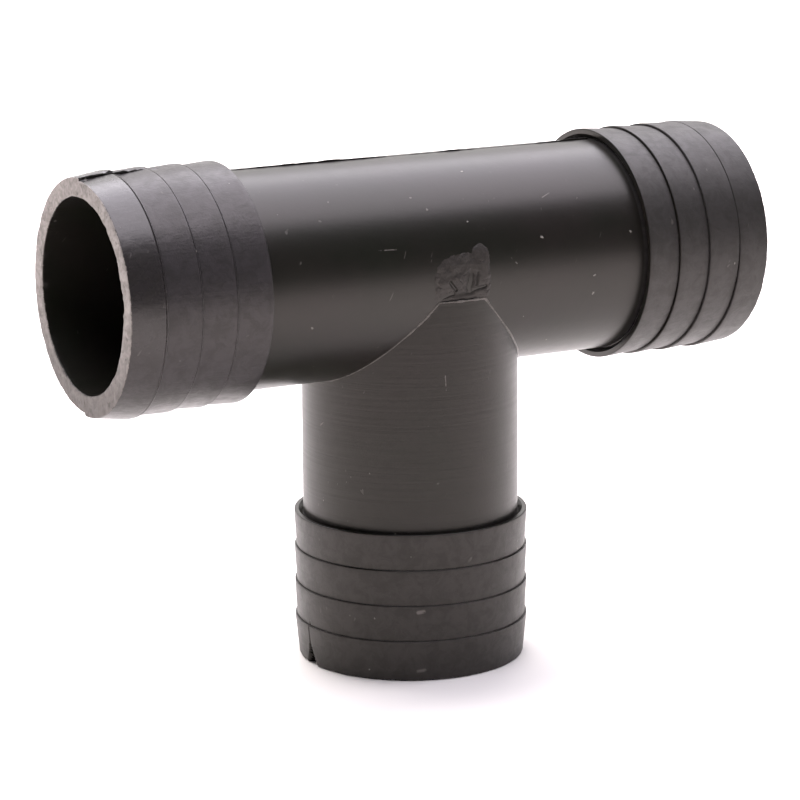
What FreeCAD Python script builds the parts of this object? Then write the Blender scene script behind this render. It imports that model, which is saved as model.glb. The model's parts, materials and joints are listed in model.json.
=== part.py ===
import FreeCAD, Part
import math
import os

"""Barbed tee connector for 25 mm (1 inch) soft irrigation pipe.

One injection moulding, divided along its own visible lines: the straight run, the branch, the four
ring barbs on each tail, the gate scar and the parting-line flash. Millimetres, +Z up the branch,
+X along the run. The origin is the centre of the branch's mouth, on which the tee stands.
"""

Vector = FreeCAD.Vector

# Driving dimensions
BORE_RADIUS = 10.9
RUN_RADIUS = 12.5
BRANCH_RADIUS = 12.6
RUN_LENGTH = 82.4
RUN_HEIGHT = 46.5

BARBS_PER_TAIL = 4
BARB_PITCH = 4.2
RUN_NOSE_BARB = 4.2
BRANCH_NOSE_BARB = 4.8
CREST_RADIUS = 13.7
VALLEY_RADIUS = 13.42
NOSE_RADIUS = 13.4
CREST_LAND = 0.36
CREST_ROUNDING = 0.12
NOSE_ROUNDING = 0.25
BORE_CHAMFER = 0.3
SHOULDER_FILLET = 0.2

LEDGE_DROP = 2.5

GATE_WIDTH = 7.2
GATE_HEIGHT = 6.2
GATE_STAND = 0.3
GATE_CORNER = 1.8
GATE_RAISE = 0.8

FLASH_WIDTH = 0.3
FLASH_STAND = 0.12
FLASH_END_GAP = 0.25

# Worked out from them
HALF_RUN = RUN_LENGTH / 2
RUN_TAIL_LENGTH = RUN_NOSE_BARB + (BARBS_PER_TAIL - 1) * BARB_PITCH
BRANCH_TAIL_LENGTH = BRANCH_NOSE_BARB + (BARBS_PER_TAIL - 1) * BARB_PITCH
LEDGE_HEIGHT = RUN_HEIGHT - LEDGE_DROP
ALONG_X = Vector(1, 0, 0)
ALONG_Z = Vector(0, 0, 1)
LEFT_MOUTH = Vector(-HALF_RUN, 0, RUN_HEIGHT)
RIGHT_MOUTH = Vector(HALF_RUN, 0, RUN_HEIGHT)
BRANCH_MOUTH = Vector(0, 0, 0)


def cylinder(radius, start, length, direction):
    return Part.makeCylinder(radius, length, start, direction)


def bore_core(mouth, inward, length):
    """The moulding core of one bore: a straight pin with a flared root that chamfers the mouth."""
    pin = cylinder(BORE_RADIUS, mouth, length, inward)
    flare = Part.makeCone(BORE_RADIUS + BORE_CHAMFER, BORE_RADIUS, BORE_CHAMFER, mouth, inward)
    return pin.fuse(flare)


def run_tube():
    """The straight tube from mouth to mouth, with the port that opens into the branch."""
    tube = cylinder(RUN_RADIUS, LEFT_MOUTH, RUN_LENGTH, ALONG_X)
    left_core = bore_core(LEFT_MOUTH, ALONG_X, HALF_RUN)
    right_core = bore_core(RIGHT_MOUTH, -ALONG_X, HALF_RUN)
    branch_core = bore_core(BRANCH_MOUTH, ALONG_Z, RUN_HEIGHT)
    return tube.cut(left_core).cut(right_core).cut(branch_core)


def branch_tube():
    """The branch, a little wider than the run: it wraps the run and stops at a flat ledge."""
    tube = cylinder(BRANCH_RADIUS, BRANCH_MOUTH, LEDGE_HEIGHT, ALONG_Z)
    run = cylinder(RUN_RADIUS, LEFT_MOUTH, RUN_LENGTH, ALONG_X)
    return tube.cut(bore_core(BRANCH_MOUTH, ALONG_Z, RUN_HEIGHT)).cut(run)


def arc(start, middle, end):
    return Part.Arc(start, middle, end).toShape()


def line(start, end):
    return Part.LineSegment(start, end).toShape()


def corner(centre, radius, degrees):
    """A point on a rounding in the profile plane, where X is the radius and Z the distance inward."""
    angle = math.radians(degrees)
    return Vector(centre.x + radius * math.cos(angle), 0, centre.z + radius * math.sin(angle))


def barb_span(index, nose_barb):
    """How far from the mouth a barb starts and ends."""
    end = nose_barb + (index - 1) * BARB_PITCH
    start = 0 if index == 1 else end - BARB_PITCH
    return start, end


def barb_front(index, start, tube_radius):
    """The front edges of a barb's profile and the point where its ramp starts."""
    inner = Vector(tube_radius, 0, start)
    if index > 1:
        ramp_foot = Vector(VALLEY_RADIUS, 0, start)
        return [line(inner, ramp_foot)], ramp_foot
    centre = Vector(NOSE_RADIUS - NOSE_ROUNDING, 0, start + NOSE_ROUNDING)
    face_end = corner(centre, NOSE_ROUNDING, -90)
    ramp_foot = corner(centre, NOSE_ROUNDING, 0)
    rounding = arc(face_end, corner(centre, NOSE_ROUNDING, -45), ramp_foot)
    return [line(inner, face_end), rounding], ramp_foot


def barb_back(index, end, tube_radius):
    """The back edges of a barb's profile, from the end of its crest land to the tube."""
    centre = Vector(CREST_RADIUS - CREST_ROUNDING, 0, end - CREST_ROUNDING)
    land_end = corner(centre, CREST_ROUNDING, 0)
    face_start = corner(centre, CREST_ROUNDING, 90)
    rounding = arc(land_end, corner(centre, CREST_ROUNDING, 45), face_start)
    tube_line = Vector(tube_radius, 0, end)
    if index < BARBS_PER_TAIL:
        return [rounding, line(face_start, tube_line)], land_end, tube_line
    fillet_centre = Vector(tube_radius + SHOULDER_FILLET, 0, end + SHOULDER_FILLET)
    fillet_start = corner(fillet_centre, SHOULDER_FILLET, -90)
    fillet_end = corner(fillet_centre, SHOULDER_FILLET, 198)
    toe = Vector(tube_radius, 0, fillet_end.z)
    fillet = arc(fillet_start, corner(fillet_centre, SHOULDER_FILLET, 234), fillet_end)
    return [rounding, line(face_start, fillet_start), fillet, line(fillet_end, toe)], land_end, toe


def barb_ring(mouth, inward, index, nose_barb, tube_radius):
    """One barb: a ring that ramps up to a narrow crest land and drops square behind it."""
    start, end = barb_span(index, nose_barb)
    front, ramp_foot = barb_front(index, start, tube_radius)
    back, land_end, inner_end = barb_back(index, end, tube_radius)
    land_start = Vector(CREST_RADIUS, 0, land_end.z - CREST_LAND)
    inner_start = Vector(tube_radius, 0, start)
    edges = front + [line(ramp_foot, land_start), line(land_start, land_end)] + back
    edges.append(line(inner_end, inner_start))
    profile = Part.Face(Part.Wire(edges))
    ring = profile.revolve(Vector(0, 0, 0), ALONG_Z, 360)
    ring.Placement = FreeCAD.Placement(mouth, FreeCAD.Rotation(ALONG_Z, inward))
    return ring


def gate_mark():
    """The scar of the injection gate: a low pad on the front of the crossing."""
    low_corner = Vector(-GATE_WIDTH / 2, -2 * RUN_RADIUS, RUN_HEIGHT + GATE_RAISE - GATE_HEIGHT / 2)
    block = Part.makeBox(GATE_WIDTH, 2 * RUN_RADIUS, GATE_HEIGHT, low_corner)
    uprights = [e for e in block.Edges if abs(e.tangentAt(e.FirstParameter).y) > 0.9]
    block = block.makeFillet(GATE_CORNER, uprights)
    outer = cylinder(RUN_RADIUS + GATE_STAND, LEFT_MOUTH, RUN_LENGTH, ALONG_X)
    run = cylinder(RUN_RADIUS, LEFT_MOUTH, RUN_LENGTH, ALONG_X)
    return block.common(outer).cut(run)


def flash_strip(start, end, outward, tube_radius):
    """A low rib of flash on a tube, from start to end on the tube's axis, on its outward side."""
    along = end - start
    length = along.Length
    along.normalize()
    across = along.cross(outward)
    strip = Part.makeBox(tube_radius + FLASH_STAND, FLASH_WIDTH, length)
    turn = FreeCAD.Rotation(outward, across, along, "ZXY")
    strip.Placement = FreeCAD.Placement(start - across * (FLASH_WIDTH / 2), turn)
    return strip.cut(cylinder(tube_radius, start - along, length + 2, along))


def parting_line():
    """The mould's parting-line flash: along the run's top and bottom and down the branch's sides."""
    run_end = HALF_RUN - RUN_TAIL_LENGTH - SHOULDER_FILLET - FLASH_END_GAP
    branch_end = BRANCH_TAIL_LENGTH + SHOULDER_FILLET + FLASH_END_GAP
    branch_side = BRANCH_RADIUS + FLASH_STAND + FLASH_END_GAP
    branch_top = RUN_HEIGHT - RUN_RADIUS - FLASH_STAND - FLASH_END_GAP
    strips = [
        flash_strip(Vector(-run_end, 0, RUN_HEIGHT), Vector(run_end, 0, RUN_HEIGHT), ALONG_Z, RUN_RADIUS)
    ]
    for side in (-1, 1):
        inner = Vector(side * branch_side, 0, RUN_HEIGHT)
        outer = Vector(side * run_end, 0, RUN_HEIGHT)
        strips.append(flash_strip(inner, outer, -ALONG_Z, RUN_RADIUS))
        low = Vector(0, 0, branch_end)
        high = Vector(0, 0, branch_top)
        strips.append(flash_strip(low, high, ALONG_X * side, BRANCH_RADIUS))
    return Part.makeCompound(strips)


def barb_rings():
    """Every barb by its node name. Barb 1 is the one at the mouth."""
    tails = {
        "left": (LEFT_MOUTH, ALONG_X, RUN_NOSE_BARB, RUN_RADIUS),
        "right": (RIGHT_MOUTH, -ALONG_X, RUN_NOSE_BARB, RUN_RADIUS),
        "branch": (BRANCH_MOUTH, ALONG_Z, BRANCH_NOSE_BARB, BRANCH_RADIUS),
    }
    rings = {}
    for tail, (mouth, inward, nose_barb, tube_radius) in tails.items():
        for index in range(1, BARBS_PER_TAIL + 1):
            rings[f"{tail}_barb_{index}"] = barb_ring(mouth, inward, index, nose_barb, tube_radius)
    return rings


def main():
    os.makedirs("parts", exist_ok=True)
    nodes = {
        "run_tube": run_tube(),
        "branch_tube": branch_tube(),
        "gate_mark": gate_mark(),
        "parting_line": parting_line(),
    }
    nodes.update(barb_rings())
    for name, shape in nodes.items():
        shape.exportStep(f"parts/{name}.step")


main()
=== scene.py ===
"""The looks of a black barbed tee for soft irrigation pipe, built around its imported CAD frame.

Everything is in metres, in the frame of the part: +Z up the branch, +X along the run.
"""

import json
import math

import bmesh
import bpy
import numpy as np
from bpy.props import FloatProperty, FloatVectorProperty, IntProperty, PointerProperty
from mathutils import Matrix, Vector, noise


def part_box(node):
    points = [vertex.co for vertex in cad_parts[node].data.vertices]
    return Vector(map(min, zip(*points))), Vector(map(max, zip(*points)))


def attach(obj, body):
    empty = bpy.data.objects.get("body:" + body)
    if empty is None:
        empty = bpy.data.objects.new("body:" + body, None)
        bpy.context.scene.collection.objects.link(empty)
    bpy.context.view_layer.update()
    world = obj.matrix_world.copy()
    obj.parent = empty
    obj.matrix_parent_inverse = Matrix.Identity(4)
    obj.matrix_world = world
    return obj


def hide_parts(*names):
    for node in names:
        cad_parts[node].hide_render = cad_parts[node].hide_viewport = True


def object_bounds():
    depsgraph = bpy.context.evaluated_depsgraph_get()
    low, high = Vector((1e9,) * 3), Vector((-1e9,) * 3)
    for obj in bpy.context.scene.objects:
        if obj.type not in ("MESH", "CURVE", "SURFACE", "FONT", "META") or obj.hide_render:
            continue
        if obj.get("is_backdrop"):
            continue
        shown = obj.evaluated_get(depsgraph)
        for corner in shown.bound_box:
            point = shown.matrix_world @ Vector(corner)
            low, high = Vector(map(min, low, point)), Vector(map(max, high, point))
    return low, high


bl_info = {
    "name": "Barbed Tee",
    "version": (1, 0, 0),
    "blender": (4, 5, 0),
    "location": "3D View > Sidebar > Barbed Tee",
    "description": "Builds the looks of a moulded barbed tee around its CAD frame",
    "category": "Object",
}

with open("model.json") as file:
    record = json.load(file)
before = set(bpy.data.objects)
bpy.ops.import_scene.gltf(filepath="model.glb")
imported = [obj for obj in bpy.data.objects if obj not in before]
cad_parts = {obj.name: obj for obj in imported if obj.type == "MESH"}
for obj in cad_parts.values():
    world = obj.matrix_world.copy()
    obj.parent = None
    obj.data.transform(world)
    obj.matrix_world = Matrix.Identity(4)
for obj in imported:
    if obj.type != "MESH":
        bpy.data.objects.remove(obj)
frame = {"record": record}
CAD_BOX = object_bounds()
MM = 0.001

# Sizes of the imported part
RUN_LOW, RUN_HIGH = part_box("run_tube")
BRANCH_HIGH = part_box("branch_tube")[1]
CREST_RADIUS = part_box("branch_barb_1")[1].x
GATE_LOW, GATE_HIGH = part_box("gate_mark")
MOUNTS = {mount["name"]: mount for mount in frame["record"]["mounts"]}

AXIS_HEIGHT = (RUN_LOW.z + RUN_HIGH.z) / 2
HALF_RUN = RUN_HIGH.x
RUN_RADIUS = RUN_HIGH.y
BRANCH_RADIUS = BRANCH_HIGH.x
LEDGE_HEIGHT = BRANCH_HIGH.z
BORE_RADIUS = MOUNTS["run_bore"]["dims"]["r_mm"] * MM
BARBS = 4
# Name of the attribute that paints shade into the gate's cuts
HOLLOW_SHADE = "hollow_shade"
# Near-black of the painted shade at the bottoms of deep cuts
PAINTED_SHADE_BLACK = (0.004, 0.004, 0.003)


def barb_ends(tail):
    """How far from its mouth each barb of a tail ends, the last at its shoulder's toe."""
    boxes = [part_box(f"{tail}_barb_{barb}") for barb in range(1, BARBS + 1)]
    if tail == "left":
        return [high.x + HALF_RUN for _, high in boxes]
    if tail == "right":
        return [HALF_RUN - low.x for low, _ in boxes]
    return [high.z for _, high in boxes]


RUN_TAIL_END = barb_ends("left")[-1]
BRANCH_TAIL_END = barb_ends("branch")[-1]


# Settings

def length(name, description, default):
    """A length setting in metres."""
    return FloatProperty(name=name, description=description, default=default, subtype="DISTANCE",
                         unit="LENGTH", precision=6)


def factor(name, description, default):
    """A setting from 0 to 1."""
    return FloatProperty(name=name, description=description, default=default, min=0, max=1,
                         subtype="FACTOR")


def colour(name, description, default):
    """A colour setting."""
    return FloatVectorProperty(name=name, description=description, default=default, size=3,
                               min=0, max=1, subtype="COLOR")


class TailSettings(bpy.types.PropertyGroup):
    run_valley_drop: length("Run valley drop", "How far a run barb's foot lies under its crest",
                            0.27 * MM)
    run_foot_groove: length("Run foot groove", "Depth of the groove behind a run barb's step",
                            0.07 * MM)
    branch_valley_drop: length("Branch valley drop",
                               "How far a branch barb's foot lies under its crest", 0.21 * MM)
    branch_foot_groove: length("Branch foot groove", "Depth of the groove behind a branch barb's step",
                               0.02 * MM)
    shoulder_groove: length("Shoulder groove", "Depth of the ragged groove at the shoulder's root",
                            0.45 * MM)
    scribe: length("Scribe", "Depth of the fine line along the left tail's first crest", 0.1 * MM)
    left_nose_drop: length("Left nose drop", "How far the left tail's nose lies under its crests",
                           0.5 * MM)
    right_nose_drop: length("Right nose drop", "How far the right tail's nose lies under its crests",
                            0.3 * MM)
    branch_nose_drop: length("Branch nose drop", "How far the branch's nose lies under its crests",
                             0.42 * MM)
    bore_flare: length("Bore flare", "How much wider the bore is at its mouth", 0.12 * MM)
    crest_land: length("Crest land", "Width of the cylindrical land on each crest", 0.34 * MM)
    crest_rounding: length("Crest rounding", "Radius of a crest's back edge", 0.11 * MM)
    nose_rounding: length("Nose rounding", "Radius of the mouth's outer edge", 0.2 * MM)
    bore_rounding: length("Bore rounding", "Radius of the mouth's inner edge", 0.2 * MM)
    wobble: length("Wobble", "How far the skin wanders inwards from true", 0.07 * MM)
    ragged: length("Ragged", "How far the trimmed mouth's edge wanders inwards", 0.12 * MM)
    steps_around: IntProperty(name="Steps around", description="Facets round a tail", default=600)


class BodySettings(bpy.types.PropertyGroup):
    steps_around: IntProperty(name="Steps around", description="Facets round a tube", default=256)
    step_along: length("Step along", "Length of a facet along a tube", 1.2 * MM)
    bead_height: length("Bead height", "How far the witness bead stands out of the saddle", 0.1 * MM)
    bead_width: length("Bead width", "Width of the witness bead on the saddle", 0.42 * MM)


class FlashSettings(bpy.types.PropertyGroup):
    height: length("Height", "How far the parting-line flash stands out", 0.26 * MM)
    width: length("Width", "Thickness of the flash", 0.12 * MM)
    unevenness: factor("Unevenness", "How much the flash swells and fades along its way", 0.9)


class GateSettings(bpy.types.PropertyGroup):
    stand: length("Stand", "How far the torn gate stands out of the tube", 0.3 * MM)
    steps: IntProperty(name="Steps", description="Facets across the gate", default=160)


class PlasticSettings(bpy.types.PropertyGroup):
    base: colour("Base", "Colour of the moulded skin", (0.0062, 0.0068, 0.0045))
    # Also the colour of the painted shade towards the foot of the mouth faces
    warm: colour("Warm", "Colour of the warmer patches", (0.0105, 0.0085, 0.0075))
    dull: colour("Dull", "Colour of the scuffed skin of the left tail", (0.034, 0.0305, 0.0325))
    worn: colour("Worn", "Colour of the lightly worn skin of the right tail", (0.026, 0.024, 0.0235))
    faded: colour("Faded", "Colour of the branch tail's skin", (0.028, 0.0255, 0.0235))
    scuffed: colour("Scuffed", "Colour of rubbed plastic", (0.16, 0.145, 0.135))
    # Pale partly as trimmed plastic and partly as painted light falling from the left on the mouth
    # faces
    cut: colour("Cut", "Colour of trimmed plastic", (0.35, 0.315, 0.3))
    dust: colour("Dust", "Colour of the dust specks", (0.34, 0.32, 0.29))
    sheen: colour("Sheen", "Tint of the skin's reflections", (1.0, 0.93, 0.88))
    roughness: factor("Roughness", "Roughness of the moulded skin", 0.28)


class StageSettings(bpy.types.PropertyGroup):
    floor: colour("Floor", "Colour of the floor", (0.88, 0.845, 0.81))
    camera_distance: length("Camera distance", "From the camera to the point it aims at", 0.3792)
    lens: FloatProperty(name="Lens", description="Focal length in millimetres", default=146.5)


# Node trees

class Wire:
    """An output socket that can be used in Python expressions: each operator adds its Math node."""

    def __init__(self, builder, socket):
        self.builder = builder
        self.socket = socket

    def _math(self, operation, *values):
        return self.builder.node("ShaderNodeMath", {"operation": operation}, list(values))

    def __add__(self, other):
        return self._math("ADD", self, other)

    def __sub__(self, other):
        return self._math("SUBTRACT", self, other)

    def __mul__(self, other):
        return self._math("MULTIPLY", self, other)

    def __truediv__(self, other):
        return self._math("DIVIDE", self, other)

    def __mod__(self, other):
        return self._math("FLOORED_MODULO", self, other)

    def __pow__(self, other):
        return self._math("POWER", self, other)

    def __gt__(self, other):
        return self._math("GREATER_THAN", self, other)

    def __lt__(self, other):
        return self._math("LESS_THAN", self, other)

    def __abs__(self):
        return self._math("ABSOLUTE", self)

    def __radd__(self, other):
        return self._math("ADD", other, self)

    def __rsub__(self, other):
        return self._math("SUBTRACT", other, self)

    def __rmul__(self, other):
        return self._math("MULTIPLY", other, self)

    def __rtruediv__(self, other):
        return self._math("DIVIDE", other, self)

    def floor(self):
        return self._math("FLOOR", self)

    def sine(self):
        return self._math("SINE", self)

    def cosine(self):
        return self._math("COSINE", self)


class Builder:
    """Adds nodes to a shader or geometry tree."""

    def __init__(self, tree):
        self.tree = tree

    def raw(self, kind, settings=None, values=None):
        """A node of a kind: its settings first, then values or links for its sockets."""
        node = self.tree.nodes.new(kind)
        for name, value in (settings or {}).items():
            setattr(node, name, value)
        pairs = values.items() if isinstance(values, dict) else enumerate(values or [])
        for key, value in pairs:
            self.feed(node.inputs[key], value)
        return node

    def feed(self, socket, value):
        if isinstance(value, Wire):
            self.tree.links.new(value.socket, socket)
        else:
            socket.default_value = value

    def node(self, kind, settings=None, values=None, output=0):
        """The same, as the wire of one of its outputs."""
        return Wire(self, self.raw(kind, settings, values).outputs[output])

    def spread(self, value, low, high, to_low=0.0, to_high=1.0):
        """The value's range from low to high, moved to another range and clamped there."""
        settings = {"clamp": True, "interpolation_type": "SMOOTHSTEP"}
        values = {"Value": value, "From Min": low, "From Max": high, "To Min": to_low,
                  "To Max": to_high}
        return self.node("ShaderNodeMapRange", settings, values)

    def split(self, vector):
        """The three numbers of a vector."""
        parts = self.raw("ShaderNodeSeparateXYZ", None, [vector])
        return [Wire(self, output) for output in parts.outputs]

    def join(self, x, y, z):
        """A vector from its three numbers."""
        return self.node("ShaderNodeCombineXYZ", None, [x, y, z])

    def vector(self, operation, *values, output=0):
        """A Vector Math node on wires and plain vectors."""
        return self.node("ShaderNodeVectorMath", {"operation": operation}, list(values), output)

    def scaled(self, vector, share):
        """A vector times a number."""
        values = {"Vector": vector, "Scale": share}
        return self.node("ShaderNodeVectorMath", {"operation": "SCALE"}, values)

    def noise(self, vector, scale, detail=2.0, roughness=0.5, distortion=0.0, offset=0.0):
        """Smooth noise from 0 to 1, with features about 1/scale metres across."""
        values = {"Vector": vector, "Scale": scale, "Detail": detail, "Roughness": roughness,
                  "Distortion": distortion, "W": offset}
        return self.node("ShaderNodeTexNoise", {"noise_dimensions": "4D"}, values)

    def blend(self, share, first, second):
        """Two colours mixed by a share."""
        mix = self.raw("ShaderNodeMix", {"data_type": "RGBA"})
        self.feed(mix.inputs[0], share)
        self.feed(mix.inputs[6], first if isinstance(first, Wire) else (*first, 1.0))
        self.feed(mix.inputs[7], second if isinstance(second, Wire) else (*second, 1.0))
        return Wire(self, mix.outputs[2])


# Materials

def new_material(name):
    """An empty node material and its builder."""
    material = bpy.data.materials.new(name)
    material.use_nodes = True
    material.node_tree.nodes.clear()
    return material, Builder(material.node_tree)


def finish_material(build, base, roughness, height, bump_distance, tint=(1, 1, 1), specular=0.5,
                    pits=None, coat=None):
    """A principled surface from a colour, a roughness and a height in units of bump_distance.

    Where pits is 1 it is painted black and all but unreflecting, a painted shade for the bottom of a
    deep cut, and coat is the weight of its polish.
    """
    bump = build.node("ShaderNodeBump", None,
                      {"Height": height, "Strength": 1.0, "Distance": bump_distance})
    surface = build.raw("ShaderNodeBsdfPrincipled", None,
                        {"Base Color": base, "Roughness": roughness, "Normal": bump, "IOR": 1.5})
    surface.inputs["Specular IOR Level"].default_value = specular
    surface.inputs["Specular Tint"].default_value = (*tint, 1.0)
    if coat:
        build.feed(surface.inputs["Coat Weight"], coat)
        surface.inputs["Coat Roughness"].default_value = 0.3
    # Painted shade: a black, unreflecting surface is mixed in where pits is 1
    if pits:
        painted_shade_pit = build.node("ShaderNodeBsdfPrincipled", None,
                         {"Base Color": (*PAINTED_SHADE_BLACK, 1.0), "Roughness": 1.0,
                          "Specular IOR Level": 0.05})
        skin = Wire(build, surface.outputs[0])
        surface = build.raw("ShaderNodeMixShader", None, [pits, skin, painted_shade_pit])
    output = build.raw("ShaderNodeOutputMaterial")
    build.tree.links.new(surface.outputs[0], output.inputs[0])


def stretched(build, point, scale):
    """Object coordinates scaled differently along each axis, for streaks."""
    return build.vector("MULTIPLY", point, scale)


def specks_of_dust(build, point):
    """Small round specks, strewn at random."""
    bent = build.node("ShaderNodeTexNoise", None, {"Vector": point, "Scale": 2400.0}, output=1)
    place = build.vector("ADD", point, build.scaled(bent, 0.5 * MM))
    cells = build.raw("ShaderNodeTexVoronoi", {"feature": "F1"}, {"Vector": place, "Scale": 430.0})
    distance = Wire(build, cells.outputs["Distance"])
    draws = build.raw("ShaderNodeSeparateColor", None, [Wire(build, cells.outputs["Color"])])
    chance, size, strength = (Wire(build, output) for output in draws.outputs)
    spots = build.spread(distance / (0.5 + size * 0.6), 0.09, 0.04)
    return spots * (chance > 0.64) * (0.15 + strength * 0.85)


def scratch_lines(build, point, turn, offset):
    """Fine short scratches that run one way."""
    turned = build.node("ShaderNodeVectorRotate", {"rotation_type": "EULER_XYZ"},
                        {"Vector": point, "Rotation": turn})
    field = build.noise(stretched(build, turned, (330, 3100, 1300)), 1.0, detail=1, offset=offset)
    where = build.spread(build.noise(point, 230, detail=2, offset=offset + 1), 0.52, 0.62)
    return build.spread(field, 0.72, 0.76) * where


# Pale rubbed marks: start and end in millimetres, width in millimetres, and how broken up they are
BODY_RUBS = [
    ((-11.3, -5.5, 32.2), (-12.5, -1.4, 28.9), 0.14, 0.48),
    ((6.4, -12.3, 48.3), (7.1, -12.4, 47.6), 0.12, 0.42),
    ((-10.4, -11.8, 50.6), (-8.2, -11.8, 50.5), 0.08, 0.4),
    ((12.1, -9.7, 54.4), (13.2, -9.4, 54.8), 0.09, 0.3),
    ((-4.6, -8.6, 55.6), (-4.5, -8.6, 55.6), 0.16, 0.0),
    ((-4.6, -11.6, 29.6), (-4.2, -11.8, 29.9), 0.1, 0.3),
    ((-2.3, -12.4, 35.6), (-2.2, -12.4, 33.9), 0.08, 0.45),
]
BRANCH_RUBS = [
    ((-5.9, -12.3, 8.3), (-5.3, -12.5, 8.4), 0.32, 0.3),
    ((-5.9, -12.2, 1.2), (-5.2, -12.5, 1.3), 0.36, 0.3),
]


def rub(build, point, start, end, width, gaps):
    """A pale rubbed mark from one point to another in millimetres, broken up by its gaps."""
    start, end = Vector(start) * MM, Vector(end) * MM
    run = end - start
    offset = build.vector("SUBTRACT", point, start)
    along = build.vector("DOT_PRODUCT", offset, run, output=1)
    share = build.node("ShaderNodeClamp", None, [along / run.length_squared])
    away = build.vector("DISTANCE", offset, build.scaled(run, share), output=1)
    grit = build.spread(build.noise(point, 1500, detail=3, offset=31.0), gaps, gaps + 0.15)
    return build.spread(away, width * MM, width * MM * 0.3) * grit


def turned_wall(build, point):
    """1 on the branch's wall, where turning has left fine rings, and 0 elsewhere."""
    x, y, z = build.split(point)
    wall = build.spread(abs((x * x + y * y) ** 0.5 - BRANCH_RADIUS), 0.08 * MM, 0.02 * MM)
    return wall * (z < LEDGE_HEIGHT)


def polished_nose(build, point):
    """1 on the upper side of the left tail's first barb, where rubbing has polished it, or 0."""
    x, _, z = build.split(point)
    upper = build.spread(z, AXIS_HEIGHT - 8 * MM, AXIS_HEIGHT + 1 * MM)
    return build.spread(x, -HALF_RUN + 4.5 * MM, -HALF_RUN + 3.7 * MM) * upper


def plastic(name, look, streaks, streak_strength, mottle, roughness_shift=0.0, rubs=(), streaks_on=None,
            base_colour=None, specular=0.5, polished_on=None):
    """The moulded skin: faint flow patches, fine streaks, a grain, dust specks and short scratches."""
    material, build = new_material(name)
    cold, warm = (base_colour, base_colour) if base_colour else (look.base, look.warm)
    point = build.node("ShaderNodeTexCoord", output=3)
    patches = build.noise(point, 70, detail=4, roughness=0.55, distortion=0.6)
    mottling = build.noise(point, 620, detail=6, roughness=0.68, distortion=0.8, offset=3.0)
    fine_streaks = build.noise(stretched(build, point, streaks), 1.0, detail=3, offset=7.0)
    grain = build.noise(point, 3600, detail=3, roughness=0.6, offset=5.0)
    specks = specks_of_dust(build, point)
    scratches = scratch_lines(build, point, (0.5, 0.9, 0.3), 11.0)
    scratches = scratches + scratch_lines(build, point, (1.4, 0.2, 1.1), 23.0)
    rubbing = scratches * 0.3
    for start, end, width, gaps in rubs:
        rubbing = rubbing + rub(build, point, start, end, width, gaps) * 0.8
    if streaks_on:
        fine_streaks = fine_streaks * streaks_on(build, point)

    warmth = build.spread(patches, 0.35, 0.7)
    skin = build.blend(warmth, cold, warm)
    if base_colour:
        skin = build.blend(build.spread(mottling, 0.4, 0.62, 0.0, 0.4), skin, look.base)
    roughness = (look.roughness + roughness_shift + (mottling - 0.5) * mottle
                 + (fine_streaks - 0.5) * 0.1 + specks * 0.3 + rubbing * 0.4)
    coat = None
    if polished_on:
        polish = polished_on(build, point)
        skin = build.blend(polish * 0.55, skin, look.warm)
        roughness = roughness - polish * 0.07
        coat = polish * 0.4
    rubbed = build.blend(rubbing, skin, look.scuffed)
    base = build.blend(specks * 0.75, rubbed, look.dust)

    height = (mottling * mottle * 4 + fine_streaks * streak_strength + grain * mottle * 1.5
              + specks * 1.5 - scratches * 0.12)
    finish_material(build, base, roughness, height, 0.03 * MM, look.sheen, specular, coat=coat)
    return material


def cut_plastic(name, look, pale_colour, dark_colour, roughness, foot=None, shaded_hollows=False,
                specular=0.5):
    """Trimmed and torn plastic: matt and ragged, with painted shade that darkens it towards a foot and
    paints its cuts black.
    """
    material, build = new_material(name)
    point = build.node("ShaderNodeTexCoord", output=3)
    ragged = build.noise(point, 900, detail=6, roughness=0.6, distortion=1.2)
    drag = build.noise(stretched(build, point, (900, 700, 4200)), 1.0, detail=3, offset=2.0)
    pits = build.spread(build.noise(point, 1500, detail=2, offset=9.0), 0.6, 0.7)
    pale = build.blend(build.spread(ragged, 0.3, 0.7), dark_colour, pale_colour)
    # Painted shade: the colour darkens towards the foot
    if foot:
        high = build.node("ShaderNodeSeparateXYZ", None, [point], output=2)
        pale = build.blend(build.spread(high, *foot, 0.6, 0.0), pale, look.warm)
    base = build.blend(pits * 0.35, pale, look.warm)
    height = ragged * 1.2 + drag * 0.5 - pits
    # Painted shade: where the attribute is 1 the surface is painted black
    hollow_shade = None
    if shaded_hollows:
        hollow_shade = build.node("ShaderNodeAttribute", {"attribute_name": HOLLOW_SHADE}, output=2)
    finish_material(build, base, roughness + ragged * 0.2, height, 0.05 * MM, look.sheen, specular,
                    hollow_shade)
    return material


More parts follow.
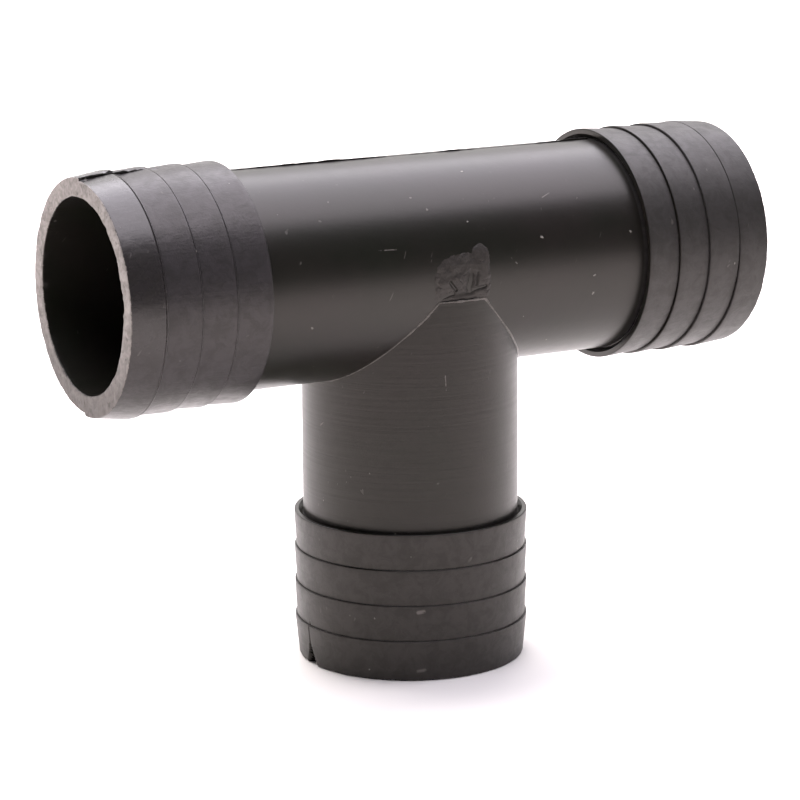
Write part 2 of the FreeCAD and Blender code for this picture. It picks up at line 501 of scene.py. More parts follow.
def material_named(name):
    """A material of the scene, made on first use."""
    if name in bpy.data.materials:
        return bpy.data.materials[name]
    look = bpy.context.scene.tee_plastic
    along_run = (90, 2600, 2600)
    # Painted shade on the mouth faces: darkest at the foot, gone just above the axis
    mouth_shade_heights = (AXIS_HEIGHT - CREST_RADIUS, AXIS_HEIGHT + 2 * MM)
    makers = {
        "left_tail_skin": lambda: plastic(name, look, along_run, 0.6, 0.36, 0.07, base_colour=look.dull,
                                          specular=0.39, polished_on=polished_nose),
        "right_tail_skin": lambda: plastic(name, look, along_run, 0.4, 0.28, 0.2,
                                           base_colour=look.worn, specular=0.4),
        "branch_tail_skin": lambda: plastic(name, look, (90, 90, 3400), 0.3, 0.24, 0.15, BRANCH_RUBS,
                                            base_colour=look.faded, specular=0.36),
        "body_skin": lambda: plastic(name, look, (60, 60, 3000), 0.8, 0.09, 0.11, BODY_RUBS,
                                     turned_wall, specular=0.44),
        "flash_skin": lambda: plastic(name, look, (2000, 2000, 2000), 0.6, 0.15, 0.1),
        # The mouth faces: pale partly as trimmed plastic and partly as painted light, darker towards
        # the foot as painted shade
        "mouth_face": lambda: cut_plastic(name, look, look.cut, look.scuffed, 0.5, mouth_shade_heights),
        # The gate's cuts are painted black as painted shade
        "torn_gate": lambda: cut_plastic(name, look, (0.023, 0.02, 0.0175), look.warm, 0.46,
                                         shaded_hollows=True),
        # The branch's nick is painted black as painted shade
        "nick_painted_shade": lambda: cut_plastic(name, look, PAINTED_SHADE_BLACK, (0.003, 0.003, 0.003), 0.9,
                                         specular=0.1),
        # The bead is pale as a painted highlight along the saddle and the ledge
        "bead_painted_highlight": lambda: cut_plastic(name, look, (0.11, 0.1, 0.09), (0.03, 0.027, 0.025), 0.3),
    }
    return makers[name]()


# Mesh helpers

def place_on_body(piece, *nodes):
    """Finishes a piece: it rides on the one body and stands for its CAD nodes."""
    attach(piece, "root")
    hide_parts(*nodes)


def add_object(name, mesh, *materials):
    """A new object at the origin that shows a mesh."""
    piece = bpy.data.objects.new(name, mesh)
    bpy.context.scene.collection.objects.link(piece)
    for material in materials:
        mesh.materials.append(material)
    return piece


def frozen(piece):
    """The piece with its modifiers made into plain mesh and then removed."""
    bpy.context.view_layer.update()
    evaluated = piece.evaluated_get(bpy.context.evaluated_depsgraph_get())
    plain = bpy.data.meshes.new_from_object(evaluated)
    old = piece.data
    piece.modifiers.clear()
    piece.data = plain
    bpy.data.meshes.remove(old)
    plain.name = piece.name
    return plain


def smooth_shaded(mesh, degrees):
    """Smooth shading, with edges sharper than an angle kept sharp."""
    for polygon in mesh.polygons:
        polygon.use_smooth = True
    mesh.set_sharp_from_angle(angle=math.radians(degrees))


def bend(centre, radius, start, end, steps):
    """Points of an arc in the profile plane, angles in degrees."""
    angles = [math.radians(start + (end - start) * step / steps) for step in range(steps + 1)]
    return [(centre[0] + radius * math.cos(a), centre[1] + radius * math.sin(a)) for a in angles]


def straight(start, end, steps):
    """Points strictly between two points of a profile."""
    shares = [step / steps for step in range(1, steps)]
    return [tuple(a + (b - a) * share for a, b in zip(start, end)) for share in shares]


# Geometry node trees

def geometry_tree(name, sizes, counts=()):
    """A geometry tree with a named input for each size and count, and one for the material."""
    tree = bpy.data.node_groups.new(name, "GeometryNodeTree")
    kinds = {"Geometry": "Geometry", **dict.fromkeys(counts, "Int"), **dict.fromkeys(sizes, "Float"),
             "Material": "Material"}
    for label, kind in kinds.items():
        tree.interface.new_socket(label, in_out="INPUT", socket_type=f"NodeSocket{kind}")
    tree.interface.new_socket("Geometry", in_out="OUTPUT", socket_type="NodeSocketGeometry")
    build = Builder(tree)
    group = build.raw("NodeGroupInput")
    wires = {socket.name: Wire(build, socket) for socket in group.outputs if socket.name}
    return tree, build, wires


def end_tree(build, geometry, material):
    """Realizes the instances, sets the material and leads to the output."""
    real = build.node("GeometryNodeRealizeInstances", None, {"Geometry": geometry})
    dressed = build.node("GeometryNodeSetMaterial", None, {"Geometry": real, "Material": material})
    output = build.raw("NodeGroupOutput")
    build.tree.links.new(dressed.socket, output.inputs[0])


def run_tree(piece, tree, values):
    """Runs a geometry tree on a piece, its inputs set by the sockets' identifiers."""
    modifier = piece.modifiers.new(tree.name, "NODES")
    modifier.node_group = tree
    for socket in tree.interface.items_tree:
        if socket.in_out == "INPUT" and socket.name in values:
            modifier[socket.identifier] = values[socket.name]
    return frozen(piece)


def revolve_tree():
    """Revolves a closed profile of vertices, x out and z along, and lets the outer skin wander."""
    sizes = ("Wobble", "Ragged", "Skin Radius", "Seed")
    tree, build, given = geometry_tree("Revolved Tail", sizes, ["Steps Around"])
    profile = given["Geometry"]
    points = build.node("GeometryNodeAttributeDomainSize", None, {"Geometry": profile})
    rows = points + 1
    grid = build.node("GeometryNodeMeshGrid", None, {"Size X": 1.0, "Size Y": 1.0,
                                                     "Vertices X": given["Steps Around"] + 1,
                                                     "Vertices Y": rows})
    index = build.node("GeometryNodeInputIndex")
    column = (index / rows).floor()
    row = (index - column * rows) % points
    place = build.node("GeometryNodeInputPosition")
    sample = build.node("GeometryNodeSampleIndex", {"data_type": "FLOAT_VECTOR"},
                        {"Geometry": profile, "Value": place, "Index": row})
    radius, _, along = build.split(sample)
    angle = column / given["Steps Around"] * math.tau
    ring = build.join(angle.cosine() * radius, angle.sine() * radius, along)
    # The skin wanders, the mouth's face is torn, and the shoulder's root and the bore's lip are ragged
    wander = build.noise(ring, 160, detail=4, roughness=0.6, offset=given["Seed"])
    outside = radius > given["Skin Radius"]
    skin = radius - wander * given["Wobble"] * outside
    tears = build.noise(ring, 420, detail=5, roughness=0.7, offset=given["Seed"] + 5)
    tears = build.spread(tears, 0.4, 0.75)
    at_mouth = build.spread(along, 0.9 * MM, 0.0)
    near_root = build.spread(abs(radius - given["Skin Radius"]), 0.45 * MM, 0.1 * MM)
    crumbs = build.noise(ring, 1300, detail=2, roughness=0.7, offset=given["Seed"] + 9)
    at_root = near_root * outside * build.spread(along, 8 * MM, 9 * MM)
    bites = (wander - 0.5) * 3 + (crumbs - 0.5) * 2.6
    skin = skin + bites * at_root * given["Ragged"]
    at_lip = build.spread(radius, BORE_RADIUS + 0.5 * MM, BORE_RADIUS + 0.25 * MM)
    at_lip = at_lip * build.spread(along, 0.5 * MM, 0.15 * MM)
    skin = skin + (tears - 0.3) * at_lip * given["Ragged"] * 1.3
    depth = along + tears * given["Ragged"] * at_mouth
    spot = build.join(skin * angle.cosine(), skin * angle.sine(), depth)
    turned = build.node("GeometryNodeSetPosition", None, {"Geometry": grid, "Position": spot})
    closed = build.node("GeometryNodeMergeByDistance", None, {"Geometry": turned, "Distance": 1e-6})
    end_tree(build, closed, given["Material"])
    return tree


def bead_tree():
    """Lays an uneven bead along a line of vertices."""
    sizes = ("Height", "Width", "Unevenness", "Swells per Metre", "Step", "Seed")
    tree, build, given = geometry_tree("Uneven Bead", sizes)
    path = build.node("GeometryNodeMeshToCurve", None, {"Mesh": given["Geometry"]})
    even = build.node("GeometryNodeResampleCurve", {"mode": "LENGTH"},
                      {"Curve": path, "Length": given["Step"]})
    place = build.node("GeometryNodeInputPosition")
    waves = build.noise(place, given["Swells per Metre"], detail=4, roughness=0.65,
                        offset=given["Seed"])
    swell = build.spread(waves, 0.4, 0.64)
    share = 1 - given["Unevenness"] + given["Unevenness"] * swell
    section = build.node("GeometryNodeCurvePrimitiveCircle", None, {"Resolution": 10, "Radius": 1.0})
    shape = build.join(given["Height"], given["Width"] / 2, 1.0)
    flat = build.node("GeometryNodeTransform", None, {"Geometry": section, "Scale": shape})
    x, y, z = build.split(place)
    out = build.join(x, y + y, z - AXIS_HEIGHT)
    tangent = build.node("GeometryNodeInputTangent")
    lengthwise = build.vector("PROJECT", out, tangent)
    square = build.vector("SUBTRACT", out, lengthwise)
    facing = build.node("GeometryNodeSetCurveNormal", {"mode": "FREE"},
                        {"Curve": even, "Normal": square})
    sized = build.node("GeometryNodeSetCurveRadius", None, {"Curve": facing, "Radius": share})
    bead = build.raw("GeometryNodeCurveToMesh", None, {"Curve": sized, "Profile Curve": flat,
                                                       "Fill Caps": True})
    if "Scale" in bead.inputs:
        build.feed(bead.inputs["Scale"], share)
    end_tree(build, Wire(build, bead.outputs[0]), given["Material"])
    return tree


# The tails

def tail_profile(settings, ends, tube_radius, nose_drop, valley_drop, groove, scribes):
    """The closed outline of a barbed tail, as (radius, distance from the mouth)."""
    nose_radius = CREST_RADIUS - nose_drop
    mouth_radius = BORE_RADIUS + settings.bore_flare
    valley_radius = CREST_RADIUS - valley_drop
    nose = settings.nose_rounding
    crest = settings.crest_rounding
    lip = settings.bore_rounding
    shoulder = 2 * ends[2] - ends[1]
    tail_end = ends[-1]
    points = bend((mouth_radius + lip, lip), lip, 180, 270, 5)
    points += straight(points[-1], (nose_radius - nose, 0), 10)
    points += bend((nose_radius - nose, nose), nose, -90, 0, 6)
    for end, scribe in zip((*ends[:-1], shoulder), scribes):
        land_end = end - crest
        land_start = land_end - settings.crest_land
        points += straight(points[-1], (CREST_RADIUS, land_start), 14)
        points += [(CREST_RADIUS, land_start)]
        if scribe:
            points += [(CREST_RADIUS, land_end - 2 * scribe),
                       (CREST_RADIUS - scribe, land_end - scribe)]
        points += bend((CREST_RADIUS - crest, land_end), crest, 0, 90, 4)
        if end < shoulder:
            points += [(valley_radius - groove, end), (valley_radius - groove, end + groove)]
            points += [(valley_radius, end + 1.5 * groove)]
    root = settings.shoulder_groove
    points += straight(points[-1], (tube_radius + 1.1 * root, shoulder), 6)
    points += straight(points[-1], (tube_radius + 0.2 * root, shoulder - root), 5)
    points += [(tube_radius + 0.2 * root, shoulder - root), (tube_radius, shoulder - 0.9 * root)]
    points += straight(points[-1], (tube_radius, tail_end), 5)
    points += [(tube_radius, tail_end)]
    points += straight(points[-1], (BORE_RADIUS, tail_end), 3)
    points += [(BORE_RADIUS, tail_end)]
    flare_end = (BORE_RADIUS, ends[1])
    points += [*straight(points[-1], flare_end, 8), flare_end]
    points += straight(points[-1], (mouth_radius, lip), 12)
    return points


def ring_of(points):
    """A closed wire mesh through the points of a profile."""
    mesh = bpy.data.meshes.new("profile")
    edges = [(i, (i + 1) % len(points)) for i in range(len(points))]
    mesh.from_pydata([(radius, 0, along) for radius, along in points], edges, [])
    return mesh


def outward(mesh):
    """Turns the faces of a closed mesh outwards."""
    shape = bmesh.new()
    shape.from_mesh(mesh)
    bmesh.ops.recalc_face_normals(shape, faces=shape.faces)
    shape.to_mesh(mesh)
    shape.free()


def paint_mouth(mesh, skin):
    """Gives a tail its skin, its flat mouth the colour of cut plastic, partly painted light, its bore
    the body's skin, and the back faces of its shoulder the body's darker skin as painted shade.
    """
    mesh.materials.clear()
    for name in (skin, "mouth_face", "body_skin"):
        mesh.materials.append(material_named(name))
    mouth_depth, bore_skin, shoulder_from = 0.4 * MM, BORE_RADIUS + 0.27 * MM, 3 * MM * BARBS
    for polygon in mesh.polygons:
        along = polygon.center.z
        radius = math.hypot(polygon.center.x, polygon.center.y)
        on_mouth = polygon.normal.z < -0.6 and along < mouth_depth and radius > BORE_RADIUS
        in_bore = radius < bore_skin and not on_mouth
        # Painted shade: the shoulder's back faces take the body's darker skin
        shaded_shoulder = polygon.normal.z > 0.5 and along > shoulder_from
        polygon.material_index = 1 if on_mouth else 2 if in_bore or shaded_shoulder else 0


def dent(mesh, centre, reach, push):
    """Pushes the points of a mesh near a centre, most at the centre and none at the reach's end."""
    for vertex in mesh.vertices:
        offset = vertex.co - Vector(centre)
        away = Vector([d / r for d, r in zip(offset, reach)]).length
        if away < 1:
            vertex.co += Vector(push) * (1 - away ** 2) ** 2


def slit(mesh, centre_x, tip_height, half_width, depth):
    """Cuts a V that widens towards the branch's mouth into its skin, and paints the cut black as
    painted shade.
    """
    side = math.copysign(1, centre_x)
    skin_from = CREST_RADIUS - 1.2 * MM
    cut = set()
    for vertex in mesh.vertices:
        place = vertex.co
        if place.x * side < 0 or math.hypot(place.x, place.y) < skin_from:
            continue
        reach = half_width * (1 - place.z / tip_height)
        if reach > 0 and abs(place.y) < reach:
            inwards = depth * (1 - (place.y / reach) ** 2)
            place.x -= side * inwards
            cut.add(vertex.index)
    # Painted shade: the cut's faces take the black material
    mesh.materials.append(material_named("nick_painted_shade"))
    for polygon in mesh.polygons:
        if cut.issuperset(polygon.vertices):
            polygon.material_index = len(mesh.materials) - 1


def step_halves(mesh, drop, mouth_x, reach):
    """Lets a run tail's front half sit low at its mouth, as mismatched mould halves leave it."""
    tear_width = 0.7 * MM
    for vertex in mesh.vertices:
        place = vertex.co
        radius = math.hypot(place.y, place.z - AXIS_HEIGHT)
        share = (radius - BORE_RADIUS) / (CREST_RADIUS - BORE_RADIUS)
        fade = 1 - abs(place.x - mouth_x) / reach
        if share <= 0 or fade <= 0:
            continue
        if place.y < 0:
            place.z -= drop * min(share * 1.5, 1) * min(fade * 1.5, 1)
        elif place.y < tear_width and place.z > AXIS_HEIGHT:
            waves = noise.noise(Vector((place.x / MM * 1.3, 0, 7)))
            place.z -= drop * share * (1 - place.y / tear_width) * max(0.4 + waves, 0)


def soften_first_step(mesh, ends, mouth_x, share):
    """Fills the foot of a run tail's first step on its upper side, where it is worn nearly away."""
    side = math.copysign(1, mouth_x)
    full_radius = CREST_RADIUS - 0.05 * MM
    for vertex in mesh.vertices:
        along = (mouth_x - vertex.co.x) * side
        if not ends[0] < along < ends[1]:
            continue
        radius = math.hypot(vertex.co.y, vertex.co.z - AXIS_HEIGHT)
        lacking = full_radius - radius
        high = (vertex.co.z - AXIS_HEIGHT) / CREST_RADIUS
        upper = min(max((high + 0.35) / 0.5, 0), 1)
        if 0 < lacking < 1 * MM and upper > 0:
            fade = 1 - (along - ends[0]) / (ends[1] - ends[0])
            grow = 1 + share * upper * fade * lacking / radius
            vertex.co.y *= grow
            vertex.co.z = AXIS_HEIGHT + (vertex.co.z - AXIS_HEIGHT) * grow


def build_tail(name, mouth, inward, tube_radius, skin, seed):
    """One barbed tail, from its mouth to the toe of its shoulder."""
    settings = bpy.context.scene.tee_tail
    shape = {
        "left": (settings.left_nose_drop, settings.run_valley_drop, settings.run_foot_groove),
        "right": (settings.right_nose_drop, settings.run_valley_drop, settings.run_foot_groove),
        "branch": (settings.branch_nose_drop, settings.branch_valley_drop,
                   settings.branch_foot_groove),
    }[name]
    deep, shallow = settings.scribe, settings.scribe / 2
    scribes = (deep, shallow, shallow, 0) if name == "left" else (0,) * BARBS
    profile = tail_profile(settings, barb_ends(name), tube_radius, *shape, scribes)
    piece = add_object(f"{name}_tail", ring_of(profile))
    values = {"Steps Around": settings.steps_around, "Wobble": settings.wobble,
              "Ragged": settings.ragged, "Skin Radius": tube_radius + 0.05 * MM, "Seed": seed,
              "Material": material_named(skin)}
    mesh = run_tree(piece, bpy.data.node_groups["Revolved Tail"], values)
    outward(mesh)
    paint_mouth(mesh, skin)
    turn = Vector((0, 0, 1)).rotation_difference(inward).to_matrix().to_4x4()
    mesh.transform(Matrix.Translation(mouth) @ turn)
    return piece


def finish_tail(piece, name):
    """Shades a tail and stands it in for its barbs."""
    smooth_shaded(piece.data, 35)
    place_on_body(piece, *[f"{name}_barb_{barb}" for barb in range(1, BARBS + 1)])


class TEE_OT_tails(bpy.types.Operator):
    """Builds the three barbed tails"""

    bl_idname = "tee.tails"
    bl_label = "Barbed Tails"

    def execute(self, context):
        revolve_tree()
        along_x = Vector((1, 0, 0))
        run_centre = Vector((0, 0, AXIS_HEIGHT))
        left_mouth = run_centre - along_x * HALF_RUN
        left = build_tail("left", left_mouth, along_x, RUN_RADIUS, "left_tail_skin", 1.0)
        chip_reach = (0.8 * MM, 0.5 * MM, 1.0 * MM)
        chip_place = left_mouth + Vector((0, -BORE_RADIUS, 0.7 * MM))
        dent(left.data, chip_place, chip_reach, (0.6 * MM, -0.35 * MM, 0))
        step_halves(left.data, 0.34 * MM, -HALF_RUN, 11 * MM)
        finish_tail(left, "left")

        right_mouth = run_centre + along_x * HALF_RUN
        right = build_tail("right", right_mouth, -along_x, RUN_RADIUS, "right_tail_skin", 2.0)
        soften_first_step(right.data, barb_ends("right"), HALF_RUN, 0.92)
        finish_tail(right, "right")

        upwards = Vector((0, 0, 1))
        branch = build_tail("branch", Vector(), upwards, BRANCH_RADIUS, "branch_tail_skin", 3.0)
        slit(branch.data, -CREST_RADIUS, 2.7 * MM, 1.15 * MM, 1.1 * MM)
        slit(branch.data, -CREST_RADIUS, 5.2 * MM, 0.2 * MM, 0.12 * MM)
        finish_tail(branch, "branch")
        return {"FINISHED"}


# The body

def tube(name, radius, start, end, steps_around, step_along):
    """A closed cylinder between two points, ringed at even steps."""
    rings = max(2, round((end - start).length / step_along)) + 1
    turn = Vector((0, 0, 1)).rotation_difference((end - start).normalized()).to_matrix()
    vertices = []
    for ring in range(rings):
        centre = start.lerp(end, ring / (rings - 1))
        for step in range(steps_around):
            angle = math.tau * (step + 0.5) / steps_around
            spoke = Vector((radius * math.cos(angle), radius * math.sin(angle), 0))
            vertices.append(centre + turn @ spoke)
    faces = []
    for ring in range(rings - 1):
        low = ring * steps_around
        for step in range(steps_around):
            after = (step + 1) % steps_around
            high = low + steps_around
            faces.append((low + step, low + after, high + after, high + step))
    faces.append(tuple(reversed(range(steps_around))))
    faces.append(tuple(range((rings - 1) * steps_around, rings * steps_around)))
    mesh = bpy.data.meshes.new(name)
    mesh.from_pydata(vertices, [], faces)
    return add_object(name, mesh)


def combine(piece, other, operation):
    """Adds a boolean with another object, applies it and removes the other."""
    modifier = piece.modifiers.new(operation, "BOOLEAN")
    modifier.operation = operation
    modifier.solver = "EXACT"
    modifier.object = other
    frozen(piece)
    mesh = other.data
    bpy.data.objects.remove(other)
    bpy.data.meshes.remove(mesh)


class TEE_OT_body(bpy.types.Operator):
    """Builds the crossing of the two tubes between the three shoulders"""

    bl_idname = "tee.body"
    bl_label = "Crossing"

    def execute(self, context):
        settings = context.scene.tee_body
        centre = Vector((0, 0, AXIS_HEIGHT))
        reach = Vector((HALF_RUN - RUN_TAIL_END, 0, 0))
        over = Vector((1 * MM, 0, 0))
        steps, along = settings.steps_around, settings.step_along
        foot = Vector((0, 0, BRANCH_TAIL_END))
        ledge = Vector((0, 0, LEDGE_HEIGHT))
        body = tube("crossing", RUN_RADIUS, centre - reach, centre + reach, steps, along)
        combine(body, tube("leg", BRANCH_RADIUS, foot, ledge, steps, along), "UNION")
        bore_start, bore_end = centre - reach - over, centre + reach + over
        combine(body, tube("run_core", BORE_RADIUS, bore_start, bore_end, steps, along), "DIFFERENCE")
        port_start = foot - Vector((0, 0, 1 * MM))
        combine(body, tube("branch_core", BORE_RADIUS, port_start, centre, steps, along), "DIFFERENCE")
        body.data.materials.clear()
        body.data.materials.append(material_named("body_skin"))
        smooth_shaded(body.data, 25)
        place_on_body(body, "run_tube", "branch_tube")
        return {"FINISHED"}


# The gate and the flash

def line_mesh(name, lines):
    """A wire mesh of several lines of points."""
    vertices, edges = [], []
    for points in lines:
        first = len(vertices)
        vertices += points
        edges += [(first + i, first + i + 1) for i in range(len(points) - 1)]
    mesh = bpy.data.meshes.new(name)
    mesh.from_pydata(vertices, edges, [])
    return mesh


# Half the length of the ledge's outer edge
LEDGE_HALF = math.sqrt(BRANCH_RADIUS ** 2 - RUN_RADIUS ** 2 + (AXIS_HEIGHT - LEDGE_HEIGHT) ** 2)


def saddle_line(side, facing, steps=60):
    """The line where the branch meets the run, from the ledge down to the parting plane."""
    top = math.acos(LEDGE_HALF / BRANCH_RADIUS)
    points = []
    for step in range(steps + 1):
        angle = top * (1 - step / steps)
        x = side * BRANCH_RADIUS * math.cos(angle)
        y = facing * BRANCH_RADIUS * math.sin(angle)
        drop = math.sqrt(max(RUN_RADIUS ** 2 - y ** 2, 0))
        points.append(Vector((x, y, AXIS_HEIGHT - drop)))
    return points


def ledge_line(facing, steps=12):
    """The outer edge of the ledge at the branch's top."""
    points = []
    for step in range(steps + 1):
        x = LEDGE_HALF * (2 * step / steps - 1)
        y = facing * math.sqrt(BRANCH_RADIUS ** 2 - x ** 2)
        points.append(Vector((x, y, LEDGE_HEIGHT)))
    return points


def lay_bead(name, lines, material, height, width, unevenness, swells, step, seed, nodes=()):
    """Lays an uneven bead along lines of points, as a finished piece."""
    piece = add_object(name, line_mesh(name, lines))
    values = {"Height": height, "Width": width, "Unevenness": unevenness, "Swells per Metre": swells,
              "Step": step, "Seed": seed, "Material": material_named(material)}
    mesh = run_tree(piece, bpy.data.node_groups["Uneven Bead"], values)
    outward(mesh)
    smooth_shaded(mesh, 60)
    place_on_body(piece, *nodes)


def parting_lines():
    """The parting line along the run: its top, and its bottom on either side of the branch."""
    run_end = HALF_RUN - RUN_TAIL_END
    top = AXIS_HEIGHT + RUN_RADIUS
    bottom = AXIS_HEIGHT - RUN_RADIUS
    lines = [[Vector((-run_end, 0, top)), Vector((run_end, 0, top))]]
    for side in (-1, 1):
        lines.append([Vector((side * BRANCH_RADIUS, 0, bottom)), Vector((side * run_end, 0, bottom))])
    return lines


def nose_line(height):
    """The line of the fin on the left tail's stepped top, sunk a little at the mouth."""
    top = AXIS_HEIGHT + CREST_RADIUS - height - 0.06 * MM
    return [Vector((-HALF_RUN + far * MM, -0.12 * MM, top - sunk * MM))
            for far, sunk in ((0.3, 0.3), (3.5, 0.05), (8.0, 0.0))]


class TEE_OT_flash(bpy.types.Operator):
    """Lays the witness bead of the saddle, the parting-line flash and the left nose's fin"""

    bl_idname = "tee.flash"
    bl_label = "Flash and Witness Bead"

    def execute(self, context):
        bead_tree()
        flash = context.scene.tee_flash
        body = context.scene.tee_body
        beads = [saddle_line(side, facing) for side in (-1, 1) for facing in (-1, 1)]
        beads += [ledge_line(facing) for facing in (-1, 1)]
        # The bead's pale colour is a painted highlight
        lay_bead("saddle_bead", beads, "bead_painted_highlight", body.bead_height, body.bead_width,
                 unevenness=0.6, swells=240.0, step=0.25 * MM, seed=4.0)
        lay_bead("parting_flash", parting_lines(), "flash_skin", flash.height, flash.width,
                 flash.unevenness, swells=110.0, step=0.2 * MM, seed=8.0, nodes=["parting_line"])
        lay_bead("nose_flash", [nose_line(flash.height)], "flash_skin", flash.height,
                 flash.width * 1.5, unevenness=0.7, swells=420.0, step=0.15 * MM, seed=21.0)
        return {"FINISHED"}


def seeded_noise(x, y, cell, seed, cells=64):
    """Smooth noise from -1 to 1 on a plane, with a fixed seed."""
    values = np.random.default_rng(seed).uniform(-1, 1, (cells, cells))
    gx, gy = x / cell + cells // 2, y / cell + cells // 2
    ix, iy = np.floor(gx).astype(int), np.floor(gy).astype(int)
    fx, fy = gx - ix, gy - iy
    fx, fy = fx * fx * (3 - 2 * fx), fy * fy * (3 - 2 * fy)
    low = values[ix, iy] * (1 - fx) + values[ix + 1, iy] * fx
    high = values[ix, iy + 1] * (1 - fx) + values[ix + 1, iy + 1] * fx
    return low * (1 - fy) + high * fy


def stroke(x, y, start, end, width):
    """1 along a stroke from start to end, falling to 0 at its sides."""
    dx, dy = end[0] - start[0], end[1] - start[1]
    share = np.clip(((x - start[0]) * dx + (y - start[1]) * dy) / (dx * dx + dy * dy), 0, 1)
    away = np.hypot(x - start[0] - share * dx, y - start[1] - share * dy)
    return np.exp(-(away / width) ** 2)


# Across and up from the gate's centre in millimetres: start and end, width, depth, and darkness of the
# painted shade in the cut
GATE_CUTS = [
    ((-1.75, -0.95), (-0.95, -1.95), 0.15, 0.3, 1.0),
    ((-2.7, -2.75), (-1.3, -2.3), 0.18, 0.34, 1.0),
    ((1.4, -2.1), (2.9, -1.85), 0.2, 0.2, 0.7),
    ((1.0, -0.5), (0.8, -1.9), 0.5, 0.2, 0.6),
    ((1.85, -0.2), (1.75, -1.6), 0.16, 0.12, 0.5),
    ((-1.2, -2.5), (1.2, -2.4), 0.25, 0.1, 0.3),
]
# The same for the ridges, with their height
GATE_RIDGES = [
    ((2.4, 2.3), (3.0, -0.8), 0.55, 0.06),
    ((-2.4, 0.4), (0.4, 1.4), 0.5, 0.05),
    ((-2.8, -1.2), (-0.4, -0.6), 0.4, 0.05),
    ((-0.1, -1.9), (-0.9, -0.5), 0.2, 0.08),
]


def gate_hollow_shade(across, up):
    """How dark the painted shade in the cuts across the gate is, from 0 to 1."""
    shades = [dark * stroke(across, up, start, end, width)
              for start, end, width, _, dark in GATE_CUTS]
    return np.max(shades, axis=0)


def gate_height(across, up):
    """How far the torn gate stands out, in millimetres, over a grid of millimetres."""
    fan = np.hypot(across / 3.6, (up + 1.2) / 3.3)
    band = np.hypot((across - 2.4) / 1.1, np.maximum(up - 1.9, 0) / 1.1)
    edge = np.minimum(fan, band) + 0.09 * seeded_noise(across, up, 0.6, 1)
    edge = edge + 0.05 * seeded_noise(across, up, 0.2, 5)
    rise = 1 / (1 + np.exp((edge - 0.9) * 9))
    drags = seeded_noise(across + 0.35 * up, up * 0.28, 0.3, 2)
    rough = seeded_noise(across, up, 0.55, 3) + 0.5 * seeded_noise(across, up, 0.22, 4)
    height = 0.17 + 0.03 * rough + 0.02 * drags
    for start, end, width, ridge in GATE_RIDGES:
        height += ridge * stroke(across, up, start, end, width)
    for start, end, width, depth, _ in GATE_CUTS:
        height -= depth * stroke(across, up, start, end, width)
    height *= 1 - 0.55 * np.clip((up - 0.8) / 2, 0, 1)
    return rise * height - 0.05 * (1 - rise)


class TEE_OT_gate(bpy.types.Operator):
    """Builds the torn scar of the injection gate"""

    bl_idname = "tee.gate"
    bl_label = "Gate Scar"

    def execute(self, context):
        settings = context.scene.tee_gate
        steps = settings.steps
        raise_up = (GATE_LOW.z + GATE_HIGH.z) / 2 - AXIS_HEIGHT
        half_width = (GATE_HIGH.x - GATE_LOW.x) / 2 / MM
        half_height = (GATE_HIGH.z - GATE_LOW.z) / 2 / MM
        row = np.linspace(-half_width, half_width, steps)
        column = np.linspace(-half_height, half_height, steps)
        across, up = np.meshgrid(row, column)
        out = RUN_RADIUS + gate_height(across, up) * settings.stand / 0.3
        tilt = (raise_up + up * MM) / RUN_RADIUS
        inner = np.full_like(out, RUN_RADIUS - 0.5 * MM)
        layers = [np.stack([across * MM, -radius * np.cos(tilt), AXIS_HEIGHT + radius * np.sin(tilt)],
                           axis=-1) for radius in (out, inner)]
        vertices = np.concatenate([layer.reshape(-1, 3) for layer in layers])
        count = steps * steps
        faces = []
        for i in range(steps - 1):
            for j in range(steps - 1):
                a = i * steps + j
                quad = (a, a + 1, a + steps + 1, a + steps)
                faces.append(quad)
                faces.append(tuple(count + v for v in reversed(quad)))
        rim = list(range(steps)) + [i * steps + steps - 1 for i in range(1, steps)]
        rim += [count - 1 - j for j in range(1, steps)]
        rim += [i * steps for i in range(steps - 2, 0, -1)]
        for i, a in enumerate(rim):
            b = rim[(i + 1) % len(rim)]
            faces.append((b, a, count + a, count + b))
        mesh = bpy.data.meshes.new("gate_scar")
        mesh.from_pydata(vertices.tolist(), [], faces)
        outward(mesh)
        # Painted shade: how black each point of the gate's cuts is painted
        shade = mesh.attributes.new(HOLLOW_SHADE, "FLOAT", "POINT")
        shaded_hollows = gate_hollow_shade(across, up).ravel()
        shade.data.foreach_set("value", np.concatenate([shaded_hollows, np.zeros(count)]))
        smooth_shaded(mesh, 60)
        piece = add_object("gate_scar", mesh, material_named("torn_gate"))
        place_on_body(piece, "gate_mark")
        return {"FINISHED"}


# The stage

# Place, aim, width and height in metres, watts, tint, and whether it shows in reflections. A light
# aims straight along Y, so that its edges stay level.
LIGHTS = {
    "overhead": ((0.2, 0.11, 0.62), (0.2, 0, 0.04), (1.0, 0.94), 13.4, (0.98, 0.95, 1.06), True),
    "behind": ((0.4, 1.0, 0.6), (0.4, 0, 0.05), (1.7, 1.2), 8.5, (1, 0.965, 0.94), True),
    "fill": ((0, 0.75, 0.9), (0, 0.6, 0), (1.8, 1.3), 25.5, (1, 0.96, 0.925), False),
}
ROOM_COLOUR = (0.9, 0.95, 1.0, 1)
ROOM_STRENGTH = 0.09
CAMERA_TURN = (-28.99, 12.73, -0.37)    # degrees of yaw, pitch and roll
CAMERA_AIM = Vector((0, 0, 35 * MM))
AIM_LEFT, AIM_DOWN = 1.14 * MM, 4.74 * MM


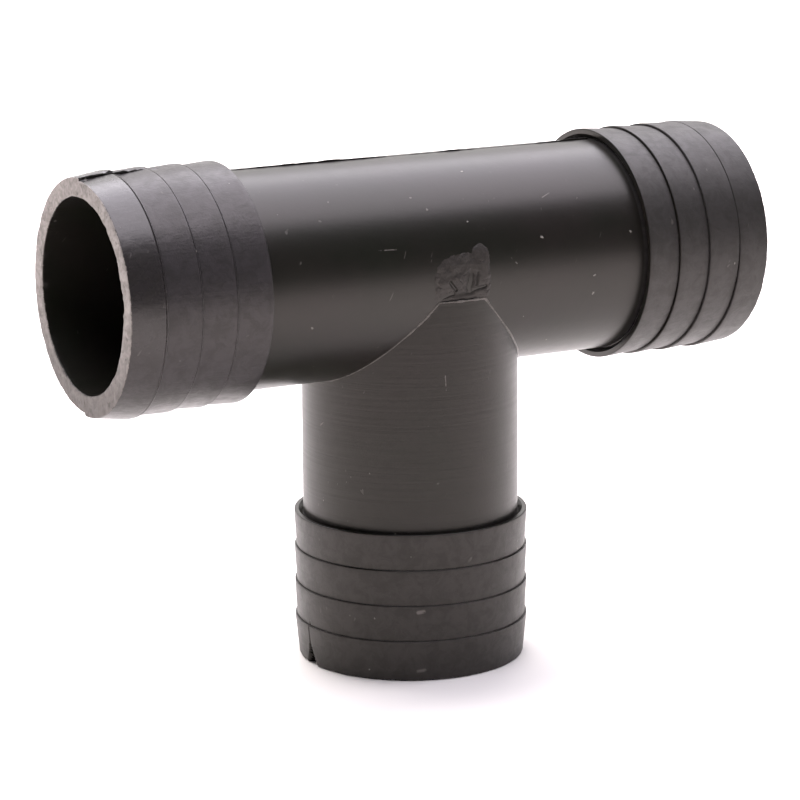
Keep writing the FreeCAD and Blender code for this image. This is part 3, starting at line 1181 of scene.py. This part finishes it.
class TEE_OT_stage(bpy.types.Operator):
    """Sets the floor, the soft lights and the camera"""

    bl_idname = "tee.stage"
    bl_label = "Stage"

    def execute(self, context):
        scene = context.scene
        settings = scene.tee_stage
        scene.view_settings.view_transform = "Standard"
        self.lay_floor(settings)
        for name, light in LIGHTS.items():
            self.hang_light(name, *light)
        self.light_room(scene)
        self.set_camera(scene, settings)
        return {"FINISHED"}

    def lay_floor(self, settings):
        mesh = bpy.data.meshes.new("floor")
        half = 4.0
        corners = [(-half, -half, 0), (half, -half, 0), (half, half, 0), (-half, half, 0)]
        mesh.from_pydata(corners, [], [(0, 1, 2, 3)])
        material, build = new_material("pale_floor")
        point = build.node("ShaderNodeTexCoord", output=3)
        tone = build.spread(build.noise(point, 30, detail=3), 0.2, 0.8, 0.0, 0.05)
        base = build.blend(tone, settings.floor, (0.78, 0.78, 0.78))
        finish_material(build, base, 0.7, build.noise(point, 2000), 0.01 * MM, specular=0.2)
        add_object("floor", mesh, material)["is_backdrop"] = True

    def hang_light(self, name, place, aim, size, power, tint, glossy):
        light = bpy.data.lights.new(name, "AREA")
        light.shape = "RECTANGLE"
        light.size, light.size_y = size
        light.energy = power
        light.color = tint
        lamp = bpy.data.objects.new(name, light)
        lamp.location = place
        lamp.rotation_euler = (Vector(aim) - Vector(place)).to_track_quat("-Z", "Y").to_euler()
        lamp.visible_camera = False
        lamp.visible_glossy = glossy
        bpy.context.scene.collection.objects.link(lamp)

    def light_room(self, scene):
        world = bpy.data.worlds.new("room")
        world.use_nodes = True
        sky = world.node_tree.nodes["Background"].inputs
        sky["Color"].default_value = ROOM_COLOUR
        sky["Strength"].default_value = ROOM_STRENGTH
        scene.world = world

    def set_camera(self, scene, settings):
        yaw, pitch, roll = (math.radians(angle) for angle in CAMERA_TURN)
        level = math.cos(pitch)
        back = Vector((math.sin(yaw) * level, -math.cos(yaw) * level, math.sin(pitch)))
        right = Vector((math.cos(yaw), math.sin(yaw), 0))
        up = back.cross(right)
        aim = CAMERA_AIM - AIM_LEFT * right - AIM_DOWN * up
        lens = bpy.data.cameras.new("camera")
        lens.lens = settings.lens
        lens.sensor_width = 36
        lens.clip_start = 0.01
        eye = bpy.data.objects.new("camera", lens)
        rolled_right = math.cos(roll) * right + math.sin(roll) * up
        rolled_up = back.cross(rolled_right)
        turn = Matrix((rolled_right, rolled_up, back)).transposed().to_4x4()
        eye.matrix_world = Matrix.Translation(aim + back * settings.camera_distance) @ turn
        scene.collection.objects.link(eye)
        scene.camera = eye


class TEE_PT_panel(bpy.types.Panel):
    """Lists the pieces of the tee"""

    bl_idname = "TEE_PT_panel"
    bl_label = "Barbed Tee"
    bl_space_type = "VIEW_3D"
    bl_region_type = "UI"
    bl_category = "Barbed Tee"

    def draw(self, context):
        for operator in OPERATORS:
            self.layout.operator(operator.bl_idname)
        for name in SETTINGS:
            group = getattr(context.scene, name)
            box = self.layout.box()
            for field in group.__annotations__:
                box.prop(group, field)


SETTINGS = {
    "tee_tail": TailSettings,
    "tee_body": BodySettings,
    "tee_flash": FlashSettings,
    "tee_gate": GateSettings,
    "tee_plastic": PlasticSettings,
    "tee_stage": StageSettings,
}
OPERATORS = (TEE_OT_tails, TEE_OT_body, TEE_OT_flash, TEE_OT_gate, TEE_OT_stage)


def register():
    for name, group in SETTINGS.items():
        bpy.utils.register_class(group)
        setattr(bpy.types.Scene, name, PointerProperty(type=group))
    for operator in (*OPERATORS, TEE_PT_panel):
        bpy.utils.register_class(operator)


def unregister():
    for operator in reversed((*OPERATORS, TEE_PT_panel)):
        bpy.utils.unregister_class(operator)
    for name, group in SETTINGS.items():
        delattr(bpy.types.Scene, name)
        bpy.utils.unregister_class(group)


def main():
    register()
    bpy.ops.tee.tails()
    bpy.ops.tee.body()
    bpy.ops.tee.flash()
    bpy.ops.tee.gate()
    bpy.ops.tee.stage()
    sizes = {"cad": CAD_BOX, "visual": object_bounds()}
    plain = {name: [list(map(float, corner)) for corner in box] for name, box in sizes.items()}


if __name__ == "__main__":
    main()
